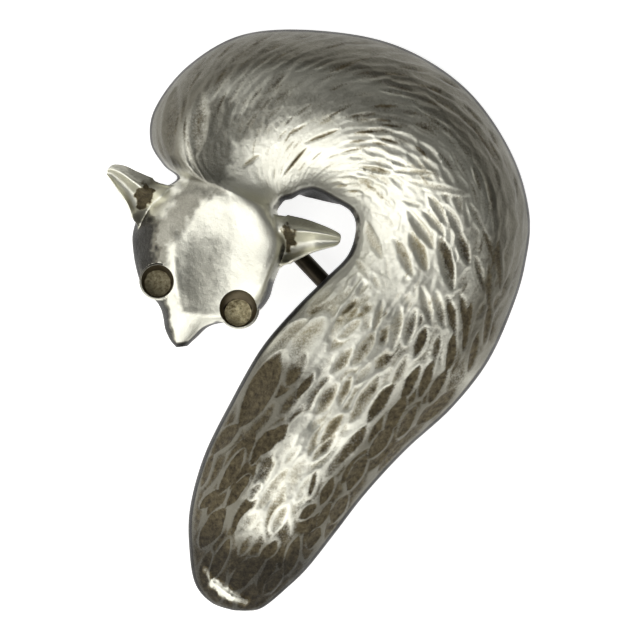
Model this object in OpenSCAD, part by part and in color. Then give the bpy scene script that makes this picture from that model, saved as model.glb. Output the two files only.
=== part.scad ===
// Figural brooch: a curled fox in hollow-backed cast silver with a hinged pin, lying on its back.
// The origin is the middle of the outline, on the plane that the rim rests on.
// X runs to the right and Y up across the front, and Z comes out of the front. Lengths are in mm.

/* [Brooch] */
// Width of the outline, from the left ear's tip to the outer curve of the back
brooch_w = 31.8; // [28:0.1:40]
// Height of the outline, from the tail's end to the top of the back
brooch_h = 44; // [40:0.1:54]
// Height of the relief over the rest plane
relief = 7.6; // [7:0.1:9.5]

/* [Casting] */
// Width of the wall round the hollow back
side_wall = 1.2; // [1:0.05:1.5]
// Thickness of the skin over the hollow
skin_t = 1.1; // [0.9:0.05:1.3]
// Height of the upright rim round the outline
rim_h = 1; // [0.7:0.05:1.2]
// Set-back of the rim's foot under its upper edge
foot_inset = 0.25; // [0.1:0.05:0.4]

/* [Eyes] */
// Diameter of the right eye's pocket
right_eye_d = 2.7; // [2.4:0.05:3]
// Diameter of the left eye's pocket
left_eye_d = 2.4; // [2:0.05:2.6]
// Depth of the pockets under their lips
eye_depth = 1; // [0.7:0.05:1.2]
// Width of the lip round each pocket
eye_lip = 0.18; // [0.12:0.02:0.3]

/* [Pin] */
// Diameter of the pin's wire
wire_d = 1.25; // [1:0.05:1.4]
// Length of the pin's point
point_l = 2.6; // [2:0.1:3]
// Diameter of the round end at the tip of the point
tip_d = 0.24; // [0.16:0.02:0.4]
// Diameter of the knuckle that the pin swings on
knuckle_d = 2.2; // [2:0.05:2.5]
// Width of the knuckle
knuckle_w = 1.5; // [1.45:0.05:1.8]
// Diameter of the hinge rivet
rivet_d = 0.8; // [0.6:0.05:1]
// Diameter of the rivet's heads
rivet_head_d = 1.4; // [1.2:0.05:1.6]
// Thickness of the rivet's heads
rivet_head_t = 0.35; // [0.25:0.05:0.5]
// Clearance between the rivet and the knuckle's bore, to each side
run_gap = 0.04; // [0.02:0.01:0.08]
// Clearance between the knuckle and each cheek
side_gap = 0.1; // [0.06:0.02:0.2]
// Clearance between the rivet and the cheeks
rivet_gap = 0.02; // [0.01:0.01:0.04]

/* [Hinge and catch] */
// Thickness of each cheek of the hinge bracket
cheek_t = 0.65; // [0.5:0.05:0.8]
// Height of the knuckle over the rest plane
back_gap = 0.2; // [0.1:0.05:0.4]
// Space over the knuckle inside the bracket
knuckle_room = 0.3; // [0.2:0.05:0.5]
// Space between the wire and the rim that it passes under
rim_room = 0.35; // [0.2:0.05:0.6]
// Length of the catch along the wire
catch_l = 1.8; // [1.4:0.1:2.2]
// Thickness of the catch's hook
catch_t = 0.55; // [0.45:0.05:0.7]
// Clearance between the wire and the hook, to each side
catch_gap = 0.15; // [0.1:0.01:0.2]
// Clearance between the wire and each side of the hook's mouth
mouth_gap = 0.08; // [0.06:0.01:0.1]
// Width of the catch's post
post_w = 1.3; // [1:0.1:1.6]

/* [Hidden] */
$fn = 48;

// Sections across the animal, from the tip of the tail to the tip of the snout, each from the inner
// edge of the curl to the outer edge. Places are shares of the outline's width and height from its
// middle. The crest is a share of the relief, and its place a share of the way across. Fuller sides
// bulge more. The feet are shares of the lift that lets the pin pass under the rim.
// inner x, inner y, outer x, outer y, crest, its place, inner fullness, outer fullness, inner foot,
// outer foot, and how far the inner edge stands over the crest, as a share of the relief
SECTIONS = [
    [-0.210, -0.498, -0.190, -0.499, 0.20, 0.50, 2.0, 2.0, 0, 0, 0],
    [-0.257, -0.486, -0.138, -0.496, 0.29, 0.50, 2.0, 2.0, 0, 0, 0],
    [-0.295, -0.454, -0.071, -0.457, 0.39, 0.50, 2.0, 2.0, 0, 0, 0],
    [-0.309, -0.397, -0.025, -0.424, 0.50, 0.50, 2.0, 2.0, 0, 0, 0],
    [-0.308, -0.324,  0.037, -0.367, 0.62, 0.48, 2.0, 2.0, 0, 0, 0],
    [-0.274, -0.233,  0.113, -0.296, 0.73, 0.48, 2.0, 2.0, 0, 0, 0],
    [-0.210, -0.139,  0.208, -0.222, 0.80, 0.50, 2.0, 2.0, 0.1, 0, 0],
    [-0.138, -0.049,  0.314, -0.152, 0.84, 0.50, 2.0, 2.0, 0.8, 0, 0],
    [-0.060,  0.018,  0.400, -0.073, 0.88, 0.54, 1.8, 2.0, 1, 0, 0],
    [ 0.012,  0.070,  0.457,  0.016, 0.92, 0.58, 1.5, 2.0, 1, 0, 0],
    [ 0.067,  0.111,  0.490,  0.096, 0.95, 0.60, 1.4, 2.0, 1, 0, 0],
    [ 0.086,  0.156,  0.500,  0.185, 0.98, 0.59, 1.4, 2.0, 1, 0, 0],
    [ 0.074,  0.185,  0.455,  0.292, 1.00, 0.55, 1.6, 2.0, 1, 0, 0],
    [ 0.036,  0.202,  0.348,  0.400, 1.00, 0.49, 1.8, 2.0, 1, 0, 0],
    [-0.010,  0.218,  0.190,  0.472, 0.99, 0.47, 2.0, 2.0, 1, 0, 0],
    [-0.040,  0.216,  0.005,  0.499, 0.97, 0.50, 2.0, 2.0, 1, 0, 0],
    [-0.064,  0.207, -0.178,  0.493, 0.94, 0.54, 2.0, 2.0, 1, 0, 0],
    [-0.081,  0.204, -0.310,  0.440, 0.91, 0.57, 2.0, 2.0, 1, 0, 0],
    [-0.090,  0.197, -0.390,  0.367, 0.89, 0.59, 2.2, 2.0, 1, 0, 0],
    [-0.095,  0.192, -0.402,  0.309, 0.88, 0.60, 2.5, 2.0, 1, 0, 0],
    [-0.098,  0.187, -0.371,  0.268, 0.89, 0.62, 3.2, 1.9, 1, 0, 0],
    [-0.098,  0.183, -0.338,  0.245, 0.87, 0.64, 4.5, 1.8, 1, 0, 0.02],
    [-0.088,  0.168, -0.381,  0.223, 0.83, 0.66, 8.0, 1.7, 1, 0, 0.05],
    [-0.076,  0.144, -0.421,  0.194, 0.75, 0.67, 16.0, 1.5, 1, 0, 0.14],
    [-0.079,  0.116, -0.443,  0.154, 0.68, 0.66, 24.0, 1.4, 1, 0, 0.22],
    [-0.093,  0.089, -0.443,  0.120, 0.67, 0.66, 24.0, 1.3, 1, 0, 0.25],
    [-0.107,  0.063, -0.433,  0.083, 0.67, 0.66, 20.0, 1.3, 1, 0.1, 0.23],
    [-0.118,  0.038, -0.415,  0.049, 0.68, 0.67, 12.0, 1.3, 0.9, 0.3, 0.18],
    [-0.143,  0.015, -0.388,  0.034, 0.68, 0.68, 7.0, 1.3, 0.8, 0.4, 0.11],
    [-0.181, -0.001, -0.375,  0.020, 0.66, 0.71, 5.0, 1.4, 0.7, 0.5, 0.05],
    [-0.229, -0.004, -0.369,  0.004, 0.61, 0.72, 4.0, 1.5, 0.6, 0.5, 0.02],
    [-0.262, -0.011, -0.364, -0.015, 0.55, 0.66, 3.4, 1.6, 0.6, 0.6, 0],
    [-0.288, -0.028, -0.352, -0.034, 0.48, 0.60, 2.8, 1.8, 0.6, 0.6, 0],
    [-0.312, -0.044, -0.338, -0.046, 0.40, 0.50, 2.2, 2.0, 0.6, 0.6, 0]
];

// Sections of the ears, from inside the head to the tip, each from the upper edge to the lower one.
// The heights of the lip, the pocket behind it and the underside are shares of the relief.
// upper x, upper y, lower x, lower y, lip, pocket, underside
RIGHT_EAR = [
    [-0.126, 0.170, -0.131, 0.090, 0.74, 0.62, 0.40],
    [-0.100, 0.181, -0.100, 0.088, 0.90, 0.70, 0.40],
    [-0.064, 0.176, -0.074, 0.093, 0.92, 0.66, 0.40],
    [-0.029, 0.170, -0.048, 0.103, 0.89, 0.67, 0.42],
    [ 0.005, 0.161, -0.014, 0.114, 0.85, 0.72, 0.46],
    [ 0.031, 0.153,  0.017, 0.121, 0.80, 0.70, 0.50],
    [ 0.048, 0.146,  0.040, 0.126, 0.74, 0.67, 0.52],
    [ 0.051, 0.140,  0.049, 0.133, 0.68, 0.64, 0.54]
];
LEFT_EAR = [
    [-0.330, 0.212, -0.398, 0.140, 0.56, 0.50, 0.30],
    [-0.352, 0.235, -0.426, 0.155, 0.64, 0.56, 0.30],
    [-0.385, 0.240, -0.439, 0.172, 0.68, 0.54, 0.30],
    [-0.425, 0.252, -0.452, 0.197, 0.68, 0.52, 0.34],
    [-0.455, 0.262, -0.472, 0.219, 0.66, 0.54, 0.38],
    [-0.482, 0.264, -0.489, 0.238, 0.62, 0.55, 0.42],
    [-0.495, 0.257, -0.498, 0.247, 0.58, 0.54, 0.46]
];
// Points across an ear: share of the way across, and the level, from 0 at the pocket to 1 at the lip
EAR_PROFILE = [[0, 0.3], [0.16, 0.75], [0.32, 1], [0.42, 0.45], [0.58, 0], [0.8, 0], [0.93, 0.35], [1, 0.2]];

// Eyes: x and y as shares of the outline, and the height of the lip as a share of the relief
RIGHT_EYE = [-0.189, 0.020, 0.53];
LEFT_EYE = [-0.378, 0.066, 0.57];

// Seats of the hinge and the catch under the skin: section number and share of the way across
HINGE_SEAT = [18.9, 0.39];
CATCH_SEAT = [7.67, 0.56];

// Rings between two sections, spans across the skin and spans across the roof of the hollow
STEPS = 3;
SKIN_SPANS = 16;
ROOF_SPANS = 10;
// The hollow runs between these sections, and the tail's end and the face are solid
HOLLOW_FROM = 2.2;
HOLLOW_TO = 25.1;
// Power that rounds the skin into the rim
EDGE_POWER = 0.62;
// Power that spreads the raised inner edge towards the crest
SHOULDER_POWER = 2;
// Most of a section's width that one wall and one set-back take at the narrow ends
WALL_SHARE = 0.35;
INSET_SHARE = 0.1;
// Lean of the hollow's walls, as a share of the way across
DRAFT_SHARE = 0.01;
// Least depth of the hollow
min_hollow = 0.05;
// Set-back of an ear's underside from each edge, as a share of the way across
EAR_INSET = 0.08;
// How much of the skin's thickness a soldered piece reaches into
SOLDER_REACH = 0.38;
// Sections over which the rim's foot flares into the gap, and how far
FLARE_FROM = 12;
FLARE_TO = 16;
flare = 0.45;

pin_z = back_gap + knuckle_d / 2;
lift = pin_z + wire_d / 2 + rim_room;
last = len(SECTIONS) - 1;
rings = [for (k = [0 : last * STEPS]) k / STEPS];

function blend(a, b, c, d, f) =
    (2 * b + (c - a) * f + (2 * a - 5 * b + 4 * c - d) * f * f + (3 * b - a - 3 * c + d) * f * f * f) / 2;
function row(table, u) =
    let (n = len(table) - 1, k = min(floor(u), n - 1))
    blend(table[max(k - 1, 0)], table[k], table[k + 1], table[min(k + 2, n)], u - k);
function mix(a, b, s) = a + (b - a) * s;

// The outline's own limits, so that the width and the height come out exact
edge_x = concat([for (u = rings) each [row(SECTIONS, u)[0], row(SECTIONS, u)[2]]],
                [for (e = RIGHT_EAR) each [e[0], e[2]]], [for (e = LEFT_EAR) each [e[0], e[2]]]);
edge_y = [for (u = rings) each [row(SECTIONS, u)[1], row(SECTIONS, u)[3]]];
function place(x, y) =
    [((x - min(edge_x)) / (max(edge_x) - min(edge_x)) - 0.5) * brooch_w,
     ((y - min(edge_y)) / (max(edge_y) - min(edge_y)) - 0.5) * brooch_h];

// A point of the plan, s of the way across section u
function plan(u, s) =
    let (r = row(SECTIONS, u))
    mix(place(r[0], r[1]), place(r[2], r[3]), s);
// Height of the foot and of the skin at the same point
function foot_z(r, s) = max(0, mix(r[8], r[9], s)) * lift;
function skin_of(r, s) =
    let (c = r[5],
         v = s < c ? pow((c - s) / c, r[6]) : pow((s - c) / (1 - c), r[7]),
         top = (r[4] + r[10] * pow(max(0, (c - s) / c), SHOULDER_POWER)) * relief,
         base = foot_z(r, s) + rim_h)
    base + (top - base) * pow(max(0, 1 - v), EDGE_POWER);
function skin_z(u, s) = skin_of(row(SECTIONS, u), s);

// One closed ring: up the inner rim, over the skin, down the outer rim and back along the hollow
function body_ring(u) =
    let (r = row(SECTIONS, u),
         a = place(r[0], r[1]),
         b = place(r[2], r[3]),
         l = norm(b - a),
         wall = min(side_wall / l, WALL_SHARE),
         inset = min(foot_inset / l, INSET_SHARE),
         part = max(0, min(1, (u - FLARE_FROM) / (FLARE_TO - FLARE_FROM))),
         out = pow(sin(180 * part), 2) * (flare + foot_inset) / l,
         open = u > HOLLOW_FROM && u < HOLLOW_TO)
    concat(
        [[mix(a, b, inset - out), foot_z(r, 0)]],
        [for (k = [0 : SKIN_SPANS])
            let (s = (1 - cos(180 * k / SKIN_SPANS)) / 2) [mix(a, b, s), skin_of(r, s)]],
        [[mix(a, b, 1 - inset), foot_z(r, 1)], [mix(a, b, 1 - wall), foot_z(r, 1)]],
        [for (k = [0 : ROOF_SPANS])
            let (s = mix(1 - wall - DRAFT_SHARE, wall + DRAFT_SHARE, k / ROOF_SPANS),
                 low = foot_z(r, s))
            [mix(a, b, s), open ? max(low + min_hollow, skin_of(r, s) - skin_t) : low]],
        [[mix(a, b, wall), foot_z(r, 0)]]);

// One closed ring of an ear
function ear_ring(table, u) =
    let (r = row(table, u), a = place(r[0], r[1]), b = place(r[2], r[3]))
    concat(
        [[mix(a, b, EAR_INSET), r[6] * relief]],
        [for (p = EAR_PROFILE) [mix(a, b, p[0]), mix(r[5], r[4], p[1]) * relief]],
        [[mix(a, b, 1 - EAR_INSET), r[6] * relief]]);

function flat(ring) = [for (p = ring) [p[0][0], p[0][1], p[1]]];

// A solid through a row of closed rings with equally many points
module loft(list) {
    n = len(list[0]);
    top = len(list) - 1;
    polyhedron(
        points = [for (ring = list) each flat(ring)],
        faces = concat(
            [[for (j = [0 : n - 1]) j]],
            [for (i = [0 : top - 1], j = [0 : n - 1])
                each [[i * n + j, (i + 1) * n + j, (i + 1) * n + (j + 1) % n],
                      [i * n + j, (i + 1) * n + (j + 1) % n, i * n + (j + 1) % n]]],
            [[for (j = [n - 1 : -1 : 0]) top * n + j]]),
        convexity = 8);
}

// The pin's own line, from the hinge to the catch
hinge_at = plan(HINGE_SEAT[0], HINGE_SEAT[1]);
catch_at = plan(CATCH_SEAT[0], CATCH_SEAT[1]);
pin_run = norm(catch_at - hinge_at);
pin_turn = atan2(catch_at[1] - hinge_at[1], catch_at[0] - hinge_at[0]);
stem_end = pin_run + catch_l / 2 + catch_gap;
cheek_in = knuckle_w / 2 + side_gap;
cheek_out = cheek_in + cheek_t;

module along_pin() {
    translate([hinge_at[0], hinge_at[1], pin_z])
        rotate([0, 0, pin_turn])
            children();
}

// A cylinder across the pin, centred on the hinge's axis
module across_pin(d, w) {
    rotate([90, 0, 0])
        cylinder(d = d, h = w, center = true);
}

module eye_cup(eye, d) {
    at = place(eye[0], eye[1]);
    translate([at[0], at[1], lift])
        cylinder(d = d + 2 * eye_lip, h = eye[2] * relief - lift);
}

module eye_pocket(eye, d) {
    at = place(eye[0], eye[1]);
    translate([at[0], at[1], eye[2] * relief - eye_depth])
        cylinder(d = d, h = relief);
}

// Two cheeks round the knuckle under a block that is soldered to the roof of the hollow
module hinge_bracket() {
    top = skin_z(HINGE_SEAT[0], HINGE_SEAT[1]) - skin_t * (1 - SOLDER_REACH) - pin_z;
    slot = knuckle_d / 2 + knuckle_room;
    along_pin() {
        difference() {
            union() {
                across_pin(knuckle_d, 2 * cheek_out);
                translate([-knuckle_d / 2, -cheek_out, 0])
                    cube([knuckle_d, 2 * cheek_out, top]);
            }
            translate([-knuckle_d, -cheek_in, -knuckle_d])
                cube([2 * knuckle_d, 2 * cheek_in, knuckle_d + slot]);
            across_pin(rivet_d + 2 * rivet_gap, 3 * cheek_out);
        }
    }
}

// A hook over the wire, open away from the back, on a post soldered to the roof of the hollow
module pin_catch() {
    top = skin_z(CATCH_SEAT[0], CATCH_SEAT[1]) - skin_t * (1 - SOLDER_REACH) - pin_z;
    inner = wire_d + 2 * catch_gap;
    mouth = wire_d + 2 * mouth_gap;
    along_pin() translate([pin_run, 0, 0]) {
        difference() {
            union() {
                rotate([0, 90, 0])
                    cylinder(d = inner + 2 * catch_t, h = catch_l, center = true);
                translate([-catch_l / 2, -post_w / 2, 0])
                    cube([catch_l, post_w, top]);
            }
            rotate([0, 90, 0])
                cylinder(d = inner, h = 2 * catch_l, center = true);
            translate([-catch_l, -mouth / 2, -inner])
                cube([2 * catch_l, mouth, inner]);
        }
    }
}

module fox_casting() {
    color("silver")
        difference() {
            union() {
                loft([for (u = rings) body_ring(u)]);
                loft([for (u = [0 : 0.5 : len(RIGHT_EAR) - 1]) ear_ring(RIGHT_EAR, u)]);
                loft([for (u = [len(LEFT_EAR) - 1 : -0.5 : 0]) ear_ring(LEFT_EAR, u)]);
                eye_cup(RIGHT_EYE, right_eye_d);
                eye_cup(LEFT_EYE, left_eye_d);
                hinge_bracket();
                pin_catch();
            }
            eye_pocket(RIGHT_EYE, right_eye_d);
            eye_pocket(LEFT_EYE, left_eye_d);
        }
}

module hinge_rivet() {
    color("gainsboro")
        along_pin() {
            across_pin(rivet_d, 2 * (cheek_out + rivet_gap));
            for (side = [-1, 1])
                translate([0, side * (cheek_out + rivet_gap + rivet_head_t / 2), 0])
                    across_pin(rivet_head_d, rivet_head_t);
        }
}

module pin_stem() {
    color("dimgray")
        along_pin()
            difference() {
                union() {
                    across_pin(knuckle_d, knuckle_w);
                    rotate([0, 90, 0])
                        cylinder(d = wire_d, h = stem_end);
                    translate([stem_end, 0, 0])
                        rotate([0, 90, 0])
                            cylinder(d1 = wire_d, d2 = tip_d, h = point_l);
                }
                across_pin(rivet_d + 2 * run_gap, 2 * knuckle_w);
            }
}

fox_casting();
hinge_rivet();
pin_stem();
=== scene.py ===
import math
import bmesh
import bpy
import numpy as np
from mathutils import Matrix, Vector


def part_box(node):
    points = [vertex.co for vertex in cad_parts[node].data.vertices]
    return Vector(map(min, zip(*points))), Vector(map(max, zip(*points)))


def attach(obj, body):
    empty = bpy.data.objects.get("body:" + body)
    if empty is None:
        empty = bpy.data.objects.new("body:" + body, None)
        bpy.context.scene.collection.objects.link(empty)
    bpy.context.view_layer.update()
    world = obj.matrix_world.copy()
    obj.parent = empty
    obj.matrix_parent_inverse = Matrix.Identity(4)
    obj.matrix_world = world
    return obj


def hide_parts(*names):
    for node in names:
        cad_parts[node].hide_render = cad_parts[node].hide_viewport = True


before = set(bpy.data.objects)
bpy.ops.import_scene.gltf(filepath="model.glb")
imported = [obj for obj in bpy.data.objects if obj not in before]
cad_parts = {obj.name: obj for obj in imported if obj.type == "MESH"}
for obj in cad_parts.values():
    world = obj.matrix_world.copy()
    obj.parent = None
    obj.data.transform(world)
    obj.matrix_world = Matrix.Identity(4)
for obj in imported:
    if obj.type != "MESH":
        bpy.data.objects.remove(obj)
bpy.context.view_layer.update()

# Sizes are in millimetres, and the frame is in metres
MM = 0.001
cast_low, cast_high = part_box("fox_casting")
brooch_w = (cast_high[0] - cast_low[0]) / MM
brooch_h = (cast_high[1] - cast_low[1]) / MM

# Casting: its greatest height, its walls, and the rim that the skin stands on
relief = 7.6
side_wall = 1.2
skin_t = 1.1
rim_h = 1.0
foot_inset = 0.25
# Eye pockets
right_eye_d = 2.7
left_eye_d = 2.4
eye_depth = 1.0
eye_lip = 0.18
# Pin, hinge and catch
wire_d = 1.25
knuckle_d = 2.2
knuckle_w = 1.5
rivet_d = 0.8
side_gap = 0.1
rivet_gap = 0.02
cheek_t = 0.65
back_gap = 0.2
knuckle_room = 0.3
rim_room = 0.35
catch_l = 1.8
catch_t = 0.55
catch_gap = 0.15
mouth_gap = 0.08
post_w = 1.3
pin_z = back_gap + knuckle_d / 2
lift = pin_z + wire_d / 2 + rim_room

# Sections across the animal, from the tail's tip to the snout, as the construction has them:
# inner x, inner y, outer x, outer y, crest, its place, inner fullness, outer fullness, inner foot,
# outer foot, and how far the inner side is raised
SECTIONS = np.array([
    [-0.210, -0.498, -0.190, -0.499, 0.20, 0.50, 2.0, 2.0, 0, 0, 0],
    [-0.257, -0.486, -0.138, -0.496, 0.29, 0.50, 2.0, 2.0, 0, 0, 0],
    [-0.295, -0.454, -0.071, -0.457, 0.39, 0.50, 2.0, 2.0, 0, 0, 0],
    [-0.309, -0.397, -0.025, -0.424, 0.50, 0.50, 2.0, 2.0, 0, 0, 0],
    [-0.308, -0.324, 0.037, -0.367, 0.62, 0.48, 2.0, 2.0, 0, 0, 0],
    [-0.274, -0.233, 0.113, -0.296, 0.73, 0.48, 2.0, 2.0, 0, 0, 0],
    [-0.210, -0.139, 0.208, -0.222, 0.80, 0.50, 2.0, 2.0, 0.1, 0, 0],
    [-0.138, -0.049, 0.314, -0.152, 0.84, 0.50, 2.0, 2.0, 0.8, 0, 0],
    [-0.060, 0.018, 0.400, -0.073, 0.88, 0.54, 1.8, 2.0, 1, 0, 0],
    [0.012, 0.070, 0.457, 0.016, 0.92, 0.58, 1.5, 2.0, 1, 0, 0],
    [0.067, 0.111, 0.490, 0.096, 0.95, 0.60, 1.4, 2.0, 1, 0, 0],
    [0.086, 0.156, 0.500, 0.185, 0.98, 0.59, 1.4, 2.0, 1, 0, 0],
    [0.074, 0.185, 0.455, 0.292, 1.00, 0.55, 1.6, 2.0, 1, 0, 0],
    [0.036, 0.202, 0.348, 0.400, 1.00, 0.49, 1.8, 2.0, 1, 0, 0],
    [-0.010, 0.218, 0.190, 0.472, 0.99, 0.47, 2.0, 2.0, 1, 0, 0],
    [-0.040, 0.216, 0.005, 0.499, 0.97, 0.50, 2.0, 2.0, 1, 0, 0],
    [-0.064, 0.207, -0.178, 0.493, 0.94, 0.54, 2.0, 2.0, 1, 0, 0],
    [-0.081, 0.204, -0.310, 0.440, 0.91, 0.57, 2.0, 2.0, 1, 0, 0],
    [-0.090, 0.197, -0.390, 0.367, 0.89, 0.59, 2.2, 2.0, 1, 0, 0],
    [-0.095, 0.192, -0.402, 0.309, 0.88, 0.60, 2.5, 2.0, 1, 0, 0],
    [-0.098, 0.187, -0.371, 0.268, 0.89, 0.62, 3.2, 1.9, 1, 0, 0],
    [-0.098, 0.183, -0.338, 0.245, 0.87, 0.64, 4.5, 1.8, 1, 0, 0.02],
    [-0.088, 0.168, -0.381, 0.223, 0.83, 0.66, 8.0, 1.7, 1, 0, 0.05],
    [-0.076, 0.144, -0.421, 0.194, 0.75, 0.67, 16.0, 1.5, 1, 0, 0.14],
    [-0.079, 0.116, -0.443, 0.154, 0.68, 0.66, 24.0, 1.4, 1, 0, 0.22],
    [-0.093, 0.089, -0.443, 0.120, 0.67, 0.66, 24.0, 1.3, 1, 0, 0.25],
    [-0.107, 0.063, -0.433, 0.083, 0.67, 0.66, 20.0, 1.3, 1, 0.1, 0.23],
    [-0.118, 0.038, -0.415, 0.049, 0.68, 0.67, 12.0, 1.3, 0.9, 0.3, 0.18],
    [-0.143, 0.015, -0.388, 0.034, 0.68, 0.68, 7.0, 1.3, 0.8, 0.4, 0.11],
    [-0.181, -0.001, -0.375, 0.020, 0.66, 0.71, 5.0, 1.4, 0.7, 0.5, 0.05],
    [-0.229, -0.004, -0.369, 0.004, 0.61, 0.72, 4.0, 1.5, 0.6, 0.5, 0.02],
    [-0.262, -0.011, -0.364, -0.015, 0.55, 0.66, 3.4, 1.6, 0.6, 0.6, 0],
    [-0.288, -0.028, -0.352, -0.034, 0.48, 0.60, 2.8, 1.8, 0.6, 0.6, 0],
    [-0.312, -0.044, -0.338, -0.046, 0.40, 0.50, 2.2, 2.0, 0.6, 0.6, 0],
])
# Ears, from inside the head to the tip: upper x, upper y, lower x, lower y, lip, pocket, underside
RIGHT_EAR = np.array([
    [-0.126, 0.170, -0.131, 0.090, 0.74, 0.62, 0.40],
    [-0.100, 0.181, -0.100, 0.088, 0.90, 0.70, 0.40],
    [-0.064, 0.176, -0.074, 0.093, 0.92, 0.66, 0.40],
    [-0.029, 0.170, -0.048, 0.103, 0.89, 0.67, 0.42],
    [0.005, 0.161, -0.014, 0.114, 0.85, 0.72, 0.46],
    [0.031, 0.153, 0.017, 0.121, 0.80, 0.70, 0.50],
    [0.048, 0.146, 0.040, 0.126, 0.74, 0.67, 0.52],
    [0.051, 0.140, 0.049, 0.133, 0.68, 0.64, 0.54],
])
LEFT_EAR = np.array([
    [-0.330, 0.212, -0.398, 0.140, 0.56, 0.50, 0.30],
    [-0.352, 0.235, -0.426, 0.155, 0.64, 0.56, 0.30],
    [-0.385, 0.240, -0.439, 0.172, 0.68, 0.54, 0.30],
    [-0.425, 0.252, -0.452, 0.197, 0.68, 0.52, 0.34],
    [-0.455, 0.262, -0.472, 0.219, 0.66, 0.54, 0.38],
    [-0.482, 0.264, -0.489, 0.238, 0.62, 0.55, 0.42],
    [-0.495, 0.257, -0.498, 0.247, 0.58, 0.54, 0.46],
])
# Profile across an ear: share of the way across, and how far it stands from the pocket up to the lip
EAR_PROFILE = np.array([
    [0, 0.3], [0.16, 0.75], [0.32, 1], [0.42, 0.45], [0.58, 0], [0.8, 0], [0.93, 0.35], [1, 0.2],
])
# Eyes: x, y and the lip's height, as shares
RIGHT_EYE = (-0.189, 0.020, 0.53)
LEFT_EYE = (-0.378, 0.066, 0.57)
# Where the hinge and the catch sit: section, and share of the way across
HINGE_SEAT = (18.9, 0.39)
CATCH_SEAT = (7.67, 0.56)
# Sections between which the back is hollow
HOLLOW_FROM = 2.2
HOLLOW_TO = 25.1
# How full the skin's edge and the raised inner side are
EDGE_POWER = 0.62
SHOULDER_POWER = 2
# How far the solder reaches into the wall, as a share of it
SOLDER_REACH = 0.38
# Sections between which the foot leans out into the gap, and how far
FLARE_FROM = 12.0
FLARE_TO = 16.0
flare = 0.45

# Tarnish, and grey that is partly patina and partly painted shade, on the walls and the back
BACK_MARKS = (0.5, 1.4)

# Spans of the mesh: along the animal, across its skin and the hollow's roof, along and across an ear, and
# round the eyes and the bars
RINGS = 560
SKIN_SPANS = 140
ROOF_SPANS = 12
EAR_RINGS = 49
EAR_COLUMNS = 36
EYE_STEPS = 72
BAR_SIDES = 64


def rows(table, u):
    """Smooth values between the table's sections, for an array of section numbers."""
    last = len(table) - 1
    k = np.minimum(np.floor(u).astype(int), last - 1)
    f = (u - k)[:, None]
    a = table[np.maximum(k - 1, 0)]
    b = table[k]
    c = table[k + 1]
    d = table[np.minimum(k + 2, last)]
    return (2 * b + (c - a) * f + (2 * a - 5 * b + 4 * c - d) * f * f
            + (3 * b - a - 3 * c + d) * f * f * f) / 2


def outline_limits():
    """The outline's own limits in shares, as the construction takes them."""
    r = rows(SECTIONS, np.arange(0, len(SECTIONS) - 1 + 0.01, 1 / 3))
    xs = np.concatenate([r[:, 0], r[:, 2], RIGHT_EAR[:, 0], RIGHT_EAR[:, 2], LEFT_EAR[:, 0], LEFT_EAR[:, 2]])
    ys = np.concatenate([r[:, 1], r[:, 3]])
    return xs.min(), xs.max(), ys.min(), ys.max()


LIMITS = outline_limits()


def place(x, y):
    """A point of the outline in millimetres, from its shares of the width and the height."""
    x0, x1, y0, y1 = LIMITS
    across = ((x - x0) / (x1 - x0) - 0.5) * brooch_w
    up = ((y - y0) / (y1 - y0) - 0.5) * brooch_h
    return np.stack([across, up], axis=-1)


def smooth_step(low, high, value):
    """A soft step from 0 to 1, or a falling one where low is the greater."""
    t = np.clip((value - low) / (high - low), 0, 1)
    return t * t * (3 - 2 * t)


def foot_z(r, s):
    """Height of the feet that lift the rim off the pin's plane."""
    return np.maximum(0, r[:, 8:9] * (1 - s) + r[:, 9:10] * s) * lift


def skin_z(r, s):
    """Height of the plain skin at a share of the way across."""
    c = r[:, 5:6]
    inner = np.power(np.clip((c - s) / c, 0, 1), r[:, 6:7])
    outer = np.power(np.clip((s - c) / (1 - c), 0, 1), r[:, 7:8])
    base = foot_z(r, s) + rim_h
    raised = np.power(np.clip((c - s) / c, 0, 1), SHOULDER_POWER)
    top = (r[:, 4:5] + r[:, 10:11] * raised) * relief
    return base + (top - base) * np.power(np.maximum(0, 1 - inner - outer), EDGE_POWER)


def ring_points(r, share, z):
    """Points at shares of the way across each section, at their heights."""
    a = place(r[:, 0], r[:, 1])[:, None, :]
    b = place(r[:, 2], r[:, 3])[:, None, :]
    return np.concatenate([a + (b - a) * share[:, :, None], z[:, :, None]], axis=2)


def width_across(r):
    """How wide each section is, in millimetres."""
    return np.linalg.norm(place(r[:, 2], r[:, 3]) - place(r[:, 0], r[:, 1]), axis=1)[:, None]


def even_sections():
    """Section numbers that lie evenly along the animal, a little outside its middle line."""
    u = np.linspace(0, len(SECTIONS) - 1, 4000)
    r = rows(SECTIONS, u)
    mid = place(r[:, 0], r[:, 1]) * 0.4 + place(r[:, 2], r[:, 3]) * 0.6
    run = np.concatenate([[0], np.cumsum(np.linalg.norm(np.diff(mid, axis=0), axis=1))])
    want = np.linspace(0, run[-1], RINGS + 1)
    return np.interp(want, run, u), want


# Fur
# The brooch's height in the photograph's steps, and the middle of its outline there
PHOTO_STEPS = 581
PHOTO_MIDDLE = (320, 319.5)
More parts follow.
